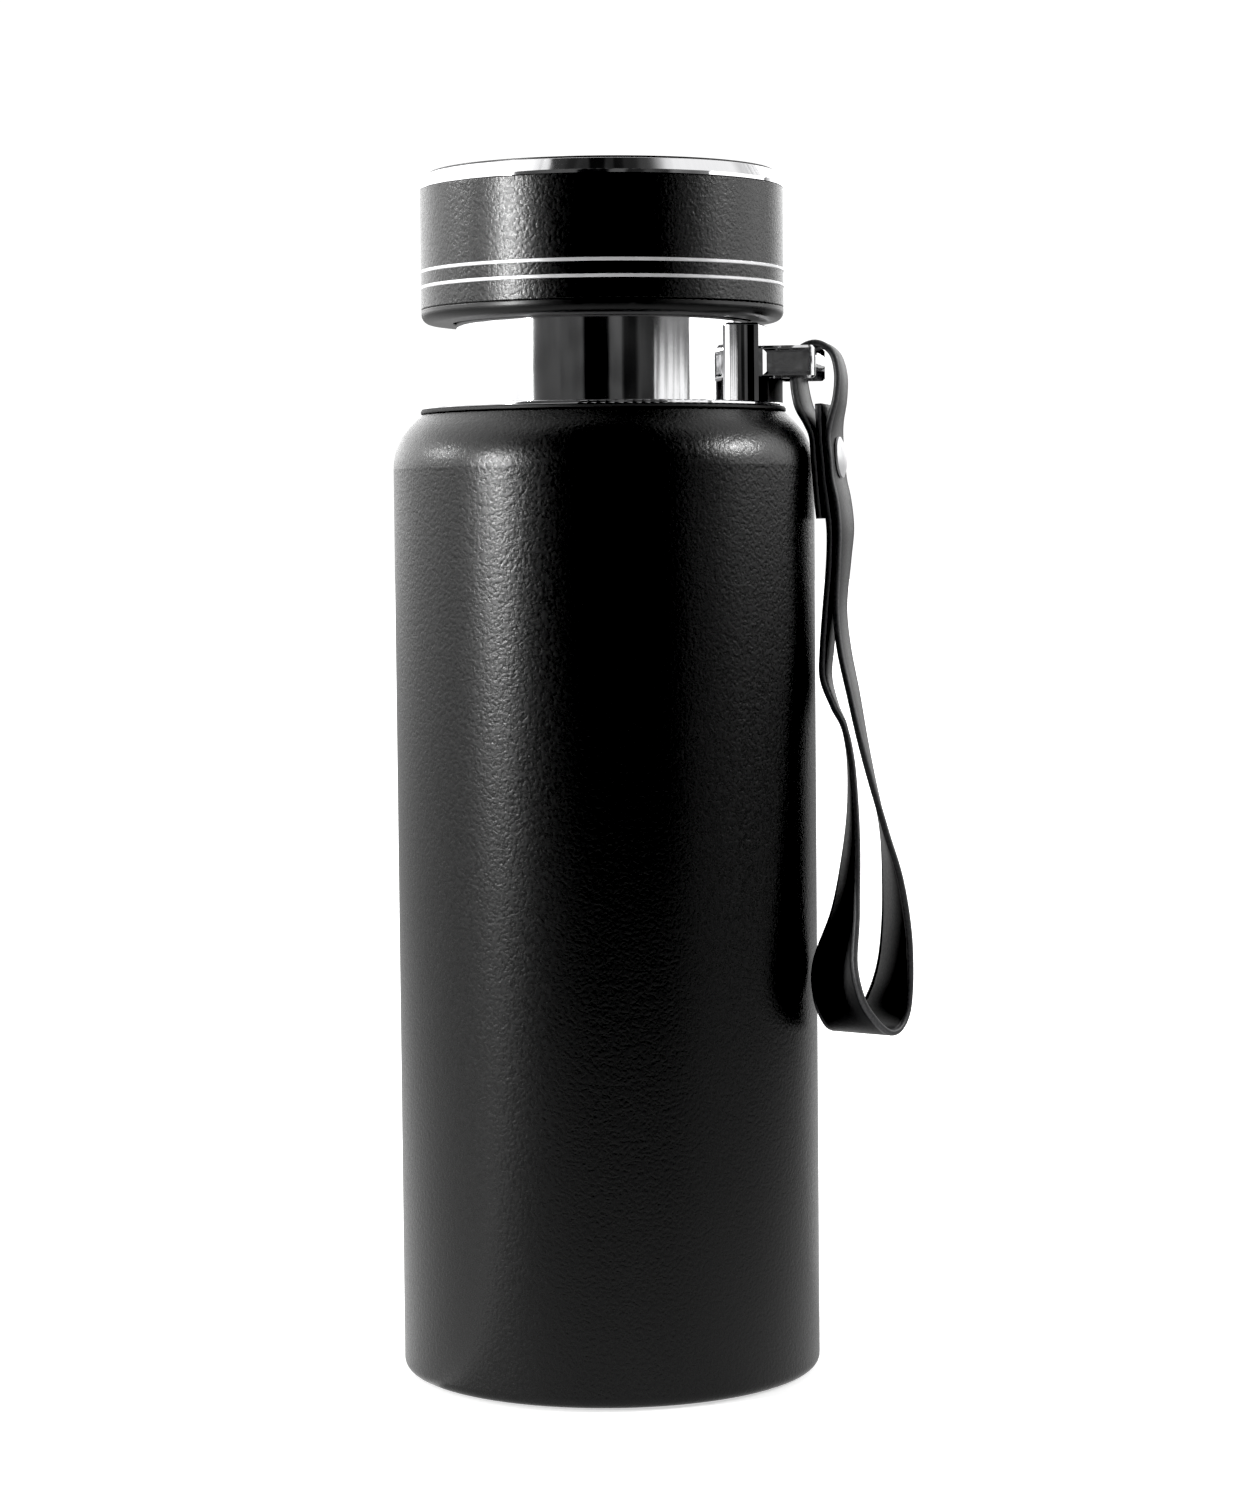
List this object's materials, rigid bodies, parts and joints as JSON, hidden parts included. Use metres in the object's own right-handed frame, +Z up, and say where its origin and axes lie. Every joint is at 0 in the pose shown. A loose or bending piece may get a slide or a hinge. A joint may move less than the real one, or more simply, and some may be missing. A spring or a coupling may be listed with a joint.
{
  "type": "insulated water bottle",
  "caption": "Black double-wall steel bottle with a chrome collar, a screw cap with bright rings, and a riveted carrying strap on a side lug.",
  "frame": {"origin": "centre of the base, on the surface the bottle stands on", "axes": "+Z up along the bottle's axis, +X towards the strap lug"},
  "size_m": [0.1026, 0.083, 0.2368],
  "materials": {
    "powder_coat": "black powder coat with a fine grain",
    "chrome": "polished",
    "steel": "satin stainless",
    "foil": "bright foil",
    "soft_black": "matt black silicone",
    "cap_black": "smooth black",
    "cap_inside": "moulded black",
    "foam": "white foam",
    "clear_silicone": "translucent silicone",
    "strap": "smooth black leather-like strip"
  },
  "bodies": {
    "flask": {"outer_shell": "powder_coat", "inner_flask": "steel", "radiation_foil": "foil", "vacuum_base": "steel", "seal_bead": "steel", "getter": "steel", "base_cover": "steel", "base_pad": "soft_black", "collar_seat_ring": "soft_black", "neck_collar": "chrome", "strap_lug": "chrome", "lug_block": "soft_black"},
    "cap_ring": {"cap_seal": "clear_silicone"},
    "cap": {"cap_shell": "powder_coat", "cap_line_upper": "chrome", "cap_line_lower": "chrome", "cap_top_ring": "chrome", "cap_top_disc": "cap_black", "cap_bottom_ring": "cap_black", "cap_liner": "cap_inside", "cap_insulation": "foam"},
    "strap": {"strap": "strap", "rivet_cap": "chrome", "rivet_post": "steel"}
  },
  "joints": [
    {"name": "cap_lift", "type": "slide", "parent": "flask", "child": "cap_ring", "axis": [0, 0, 1], "range_m": [0, 0.0063]},
    {"name": "cap_turn", "type": "hinge", "parent": "cap_ring", "child": "cap", "pos_m": [0, 0, 0.224], "axis": [0, 0, 1], "range_deg": [0, 450]},
    {"name": "strap_swing", "type": "hinge", "parent": "flask", "child": "strap", "pos_m": [0.042, 0, 0.1993], "axis": [0, -1, 0], "range_deg": [0, 150]}
  ],
  "couplings": [
    {"joint": "cap_lift", "follows": "cap_turn", "m_per_rad": 0.00079577}
  ]
}
